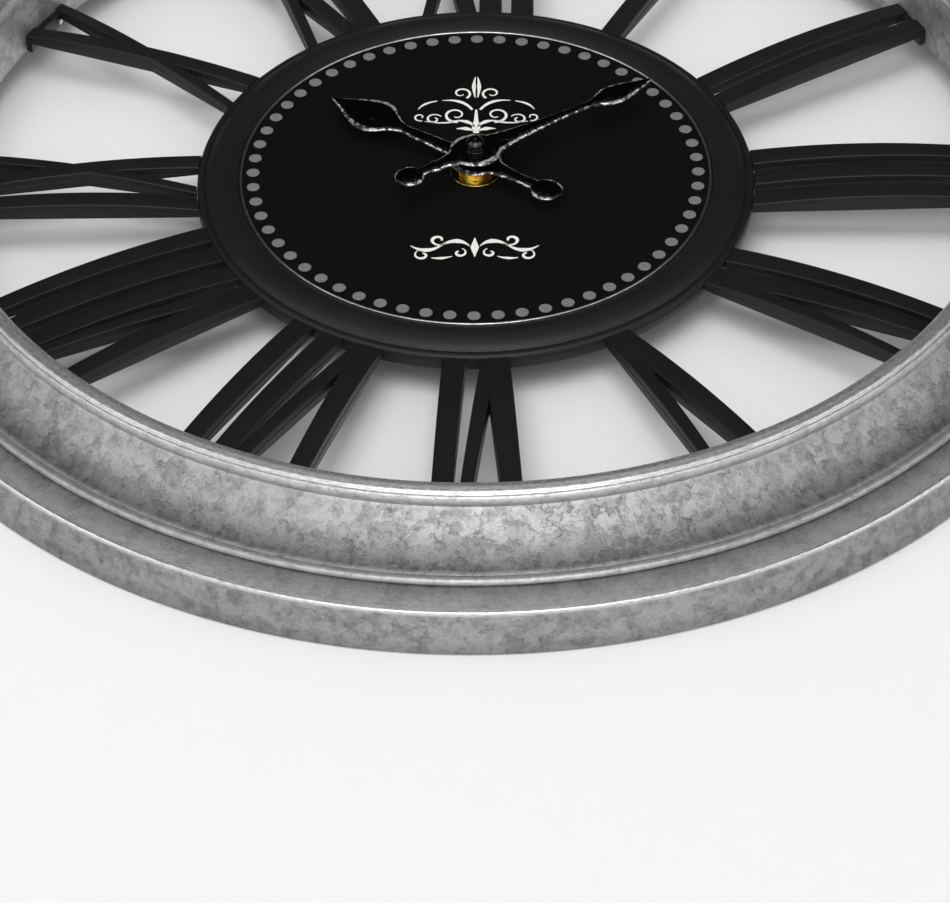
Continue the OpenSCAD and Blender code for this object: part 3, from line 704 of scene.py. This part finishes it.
def stroke_skin(stroke, angle, sink):
    """Bar along one stroke: flat face with rounded edges, drafted sides with a small ledge, arched along its
    length. Its ends lie on two circles round the dial, so each row's distance out is the root of the circle's
    radius squared less the sideways place squared. It is sunk a little, so that no two faces of a numeral lie
    in one surface."""
    corner, ledge, draft = 0.55, 3.1, 0.16
    a = np.radians(np.linspace(90, 0, 5))
    side = np.concatenate([
        np.stack([-corner - draft + corner * np.cos(a), -corner + corner * np.sin(a)], -1),
        [[-0.06, -ledge], [0.1, -ledge - 0.12], [0.12, -SIDE_DEPTH]]])
    rows = np.linspace(INNER_R, OUTER_R, 34)[:, None]
    grid = []
    for sign, part in ((1, side), (-1, side[::-1])):
        inset, drop = part[:, 0][None, :], part[:, 1][None, :]
        r = rows + 0 * inset
        for _ in range(3):
            u = across(stroke, r, sign) + sign * inset
            r = np.sqrt(rows**2 - u**2)
        back = FOOT_BACK + (rows - INNER_R) / (OUTER_R - INNER_R) * (HEAD_BACK - FOOT_BACK)
        h = np.where(drop == -SIDE_DEPTH, back, face_height(rows) + drop) - sink
        x, z = turned_by(angle, u, r)
        grid.append(at(x, z, h))
    return skin(np.concatenate(grid, 1))


def pad_skin(strokes, angle):
    """Curved foot along the drum wall that joins the strokes' outer ends. It is cut off parallel to the
    numeral's middle line."""
    ends = [across(s, DRUM_R, e) for s in strokes for e in (-1, 1)]
    mid, half = (max(ends) + min(ends)) / 2, max(PAD_HALF, (max(ends) - min(ends)) / 2)
    section = filleted([[PAD_IN, PAD_BACK], [PAD_OUT, PAD_BACK], [PAD_OUT, PAD_FRONT], [PAD_IN, PAD_FRONT]],
                       0.4, 2)
    u = np.linspace(mid - half + 0.05, mid + half - 0.05, 24)[:, None]
    r = np.sqrt(section[:, 0][None, :] ** 2 - u**2)
    x, z = turned_by(angle, u, r)
    return skin(at(x, z, section[:, 1][None, :] + 0 * u))


def numeral(k, strokes):
    """One moulded numeral: its strokes and its foot, turned thirty degrees an hour."""
    angle = math.radians(30 * k)
    skins = [stroke_skin(stroke, angle, 0.02 * i) for i, stroke in enumerate(strokes)]
    skins.append(pad_skin(strokes, angle))
    mesh_piece(f"roman_{k}", skins, "frame", ABS, "numeral_black", [f"numeral_{k}"], sharp=40)


for numeral_hour, numeral_strokes in STROKES.items():
    numeral(numeral_hour, numeral_strokes)


# ---------------------------------------------------------------- washer, nut, hands and cap

WASHER_R, WASHER_HOLE_R, WASHER_TOP = 10, 4.05, 0.8
NUT_HALF, NUT_HOLE_R, NUT_LOW, NUT_TOP = 6.5, 4, 0.82, 4.4


def washer():
    """Flat brass washer with rounded rims."""
    section = filleted([[WASHER_HOLE_R, 0.02], [WASHER_R, 0.02], [WASHER_R, WASHER_TOP],
                        [WASHER_HOLE_R, WASHER_TOP]], 0.36, 5)
    ring = skin(spun(section, 128), True)
    mesh_piece("brass_washer", [ring], "frame", BRASS, "brass_fixing", ["flat_washer"])


def nut():
    """Six-sided nut 13 mm across its flats: a spun section whose radius is held inside the hexagon, which is
    half the width across flats over the cosine of the angle from the nearest flat's middle."""
    section = filleted([[NUT_HOLE_R, NUT_LOW], [6.7, NUT_LOW], [7.5, 1.2], [7.5, 3.8], [6.5, NUT_TOP],
                        [4.6, NUT_TOP], [NUT_HOLE_R, 4]], 0.4, 5)
    a = np.linspace(0, TAU, 288, endpoint=False)[:, None]
    half_side = TAU / 12
    flat = NUT_HALF / np.cos((a + half_side) % (2 * half_side) - half_side)
    r = np.minimum(section[:, 0][None, :], flat)
    grid = at(r * np.sin(a + half_side), r * np.cos(a + half_side), section[:, 1][None, :] + 0 * a)
    mesh_piece("brass_nut", [skin(grid, True)], "frame", BRASS, "brass_fixing", ["hex_nut"], sharp=25)


# Hands: places along the hand from its axis, each with the half width there. A tail ends in a disc, given by
# its middle's distance and its radius.
HUB_R = 10.3
HOUR_BLADE = [(8, 5), (12, 3.7), (20, 3.1), (28, 2.8), (34, 2.2), (37, 2.8), (40, 4.4), (43, 6.9),
              (46, 9.3), (49, 10.4), (52, 10.2), (56, 8.7), (60, 6.5), (64, 4), (68, 1.7), (71, 0.3)]
HOUR_TAIL = [(7, 5.4), (12, 3.8), (17, 2.9), (23, 2.5), (29, 3)]
MINUTE_BLADE = [(8, 6.4), (12, 5), (20, 3.7), (28, 2.9), (36, 2.2), (46, 1.7), (54, 1.6), (57, 2.3),
                (60, 3.7), (63, 5.2), (66, 5.8), (70, 5.3), (75, 3.8), (80, 2), (85, 0.3)]
MINUTE_TAIL = [(7, 5.6), (12, 3.6), (16, 2.5), (19, 3.1), (22, 2.2), (26, 2.6)]
HOUR_DISC, MINUTE_DISC = (34.4, 6.4), (30.9, 5.8)
HOUR_TURN, MINUTE_TURN = math.radians(304.75), math.radians(57)
HOUR_LOW, HOUR_THICK, MINUTE_LOW, MINUTE_THICK = 5.6, 1.6, 10, 2.0
CAP_LOW, CAP_SKIRT_R, CAP_DOME_R = 12.03, 4.2, 3.9


def disc_half(v, middle, radius):
    """Half width of a round disc at a place along the hand."""
    return np.sqrt(np.maximum(radius**2 - (v - middle) ** 2, 0))


def smooth_table(v, table):
    """Half width along a hand from a short table, with its corners eased by averaging neighbours; 0 outside
    it."""
    x, y = np.array(table, float).T
    spread = [np.interp(v + d, x, y, left=0, right=0) for d in (-0.9, -0.45, 0, 0.45, 0.9)]
    inside = (v >= x[0]) & (v <= x[-1])
    return np.where(inside, np.mean(spread, 0), 0)


def hand_skin(blade, tail, disc, low, thick, turn):
    """Cast hand as a loft: at each place along it the half width is the widest of hub, blade, tail and disc,
    made uneven by three waves; the section is a rounded box, from powers of cosine and sine, with a low dome
    on top. Gives the skin and its worn attribute, which is 1 on the upper sides: rubbed wear and a
    painted highlight along the rims."""
    start, end = -disc[0] - disc[1], blade[-1][0]
    t = np.linspace(0, math.pi, 420)
    v = (start + end) / 2 - (end - start) / 2 * np.cos(t)
    v = np.unique(np.concatenate([v, start + disc[1] * (1 - np.cos(np.linspace(0, math.pi / 2, 24)))]))
    half = np.max([disc_half(v, 0, HUB_R), smooth_table(v, blade), smooth_table(-v, tail),
                   disc_half(v, -disc[0], disc[1])], 0)
    rough = 0.1 * np.sin(1.9 * v) + 0.08 * np.sin(3.7 * v + 1) + 0.06 * np.sin(7.3 * v + 2)
    half = np.maximum(half + rough * np.clip(half / 2, 0, 1), 0.02)[:, None]
    a = np.linspace(0, TAU, 40, endpoint=False)[None, :]
    wide = np.sign(np.cos(a)) * np.abs(np.cos(a)) ** 0.45
    tall = np.sign(np.sin(a)) * np.abs(np.sin(a)) ** 0.6
    lift = 0.16 * thick * np.cos(wide * math.pi / 2) * (tall > 0) * np.clip(half / 3, 0.2, 1)
    u = half * wide
    h = low + thick / 2 + thick * 0.42 * tall + lift
    x, z = turned_by(turn, u, v[:, None] + 0 * u)
    # rims of the upper sides: rubbed wear and painted highlight
    rim = np.clip((np.abs(wide) - 0.8) / 0.1, 0, 1) * np.clip((0.92 - np.abs(tall - 0.45)) / 0.5, 0, 1)
    worn = rim * (np.abs(tall) < 0.88) + 0 * u
    points, faces = skin(at(x, z, h))
    return (points, faces), np.concatenate([worn.ravel(), [0.0, 0.0]])


def hands():
    """Hour and minute hand, each on the body that turns it."""
    hour, worn = hand_skin(HOUR_BLADE, HOUR_TAIL, HOUR_DISC, HOUR_LOW, HOUR_THICK, HOUR_TURN)
    mesh_piece("hour_casting", [hour], "hour", LACQUER, "hand_black", ["hour_hand"], worn=worn)
    minute, worn = hand_skin(MINUTE_BLADE, MINUTE_TAIL, MINUTE_DISC, MINUTE_LOW, MINUTE_THICK, MINUTE_TURN)
    mesh_piece("minute_casting", [minute], "minute", LACQUER, "hand_black", ["minute_hand"], worn=worn)


def cap():
    """Domed cap nut: a short skirt, a neck and a dome, spun round the axis."""
    skirt, neck = CAP_LOW + 0.25, CAP_LOW + 1.9
    profile = np.concatenate([
        [[0.01, CAP_LOW]], arc([CAP_SKIRT_R, skirt], 0.25, -90, 0, 3),
        arc([CAP_SKIRT_R, skirt + 0.45], 0.25, 0, 90, 3),
        [[CAP_DOME_R + 0.05, neck - 0.8], [CAP_DOME_R, neck]], arc([0, neck], CAP_DOME_R, 4, 89.5, 14)])
    points, faces = skin(np.swapaxes(spun(profile, 96), 0, 1))
    mesh_piece("cap_dome", [(points, faces)], "minute", SMOOTH_LACQUER, "hand_black", ["hand_cap_nut"],
               worn=np.zeros(len(points)))


washer()
nut()
hands()
cap()


# ---------------------------------------------------------------- room, light and camera

def wall_paint():
    """Pale matt wall that is clear from behind, so that the clock's back can be seen through it."""
    m, add, place = finish("pale_wall_paint")
    fine = add("TexNoise", place, Scale=PER_MM / 2, Detail=2)
    front = add("BsdfPrincipled", Base_Color="#f3f3f4", Roughness=0.9,
                Normal=add("Bump", Height=fine, Strength=0.03, Distance=0.02 * MM))
    behind = add("NewGeometry", out="Backfacing")
    add("OutputMaterial", add("MixShader", behind, front, add("BsdfTransparent")))
    return m


def floor_paint():
    """Pale plain studio floor."""
    m, add, place = finish("pale_studio_floor")
    fine = add("TexNoise", place, Scale=PER_MM / 3, Detail=2)
    add("OutputMaterial", add("BsdfPrincipled", Base_Color="#e9e9ea", Roughness=0.8,
                              Normal=add("Bump", Height=fine, Strength=0.05, Distance=0.05 * MM)))
    return m


def backdrop(name, corners, material):
    """Flat four-cornered part of the room, which is not part of the clock."""
    mesh = bpy.data.meshes.new(name)
    mesh.from_pydata(corners, [], [[0, 1, 2, 3]])
    mesh.materials.append(material)
    piece = bpy.data.objects.new(name, mesh)
    bpy.context.scene.collection.objects.link(piece)
    return piece


WALL_Y = cad_box[1][1] + 0.0002
FLOOR_Z, ROOM, CEILING = -1.62, 6, 5
wall = backdrop("wall", [(-ROOM, WALL_Y, FLOOR_Z), (ROOM, WALL_Y, FLOOR_Z), (ROOM, WALL_Y, CEILING),
                         (-ROOM, WALL_Y, CEILING)], wall_paint())
wall.visible_shadow = False
backdrop("floor", [(-ROOM, -ROOM, FLOOR_Z), (ROOM, -ROOM, FLOOR_Z), (ROOM, ROOM, FLOOR_Z),
                   (-ROOM, ROOM, FLOOR_Z)], floor_paint())


def softbox(name, location, size, watts):
    """Square area light of a size in metres, aimed at the clock's middle."""
    data = bpy.data.lights.new(name, "AREA")
    data.size, data.energy = size, watts
    light = bpy.data.objects.new(name, data)
    light.location = location
    light.rotation_euler = (-Vector(location)).to_track_quat("-Z", "Y").to_euler()
    bpy.context.scene.collection.objects.link(light)
    return light


def reflection_card(name, location, size, watts):
    """Softbox that only glossy surfaces see, so that it shapes highlights and casts no shadow."""
    softbox(name, location, size, watts).visible_diffuse = False


softbox("key_front", (-0.35, -2.6, -0.65), 2.2, 39).visible_glossy = False
reflection_card("low_card", (0.1, -1.2, -1.62), 1.0, 19)
reflection_card("under_card", (0, -0.45, -1.45), 1.6, 11)
reflection_card("front_card", (0, -2.6, 0.85), 1.6, 3.5)
reflection_card("left_card", (-1.7, -0.9, -0.6), 1.2, 8)
reflection_card("right_card", (1.7, -0.9, -0.6), 1.2, 7)
softbox("rear_fill", (0.8, 1.8, 0.9), 1.5, 24)

world = bpy.data.worlds.new("studio")
world.use_nodes = True
sky = world.node_tree.nodes["Background"].inputs
sky["Color"].default_value = linear("#dedddb")
sky["Strength"].default_value = 0.8
bpy.context.scene.world = world
world.cycles_visibility.glossy = False
bpy.context.scene.view_settings.view_transform = "Standard"


EYE = (0.01905, -1.05334, -1.34066)
LENS, SENSOR = 161.27, 36


def camera():
    """Long lens below the clock, looking up 48 degrees at its lower half. Its axes are worked out from the
    pitch, the heading and a slight roll."""
    pitch, heading, roll = math.radians(48.01), math.radians(-0.982), math.radians(0.602)
    forward = np.array([math.sin(heading) * math.cos(pitch), math.cos(heading) * math.cos(pitch),
                        math.sin(pitch)])
    level = np.cross(forward, [0, 0, 1])
    level /= np.linalg.norm(level)
    upright = np.cross(level, forward)
    right = math.cos(roll) * level + math.sin(roll) * upright
    up = -math.sin(roll) * level + math.cos(roll) * upright
    data = bpy.data.cameras.new("camera")
    data.lens, data.sensor_width = LENS, SENSOR
    data.clip_start, data.clip_end = 0.05, 50
    view = bpy.data.objects.new("camera", data)
    matrix = np.eye(4)
    matrix[:3, 0], matrix[:3, 1], matrix[:3, 2] = right, up, -forward
    matrix[:3, 3] = EYE
    view.matrix_world = Matrix(matrix.tolist())
    bpy.context.scene.collection.objects.link(view)
    bpy.context.scene.camera = view


camera()
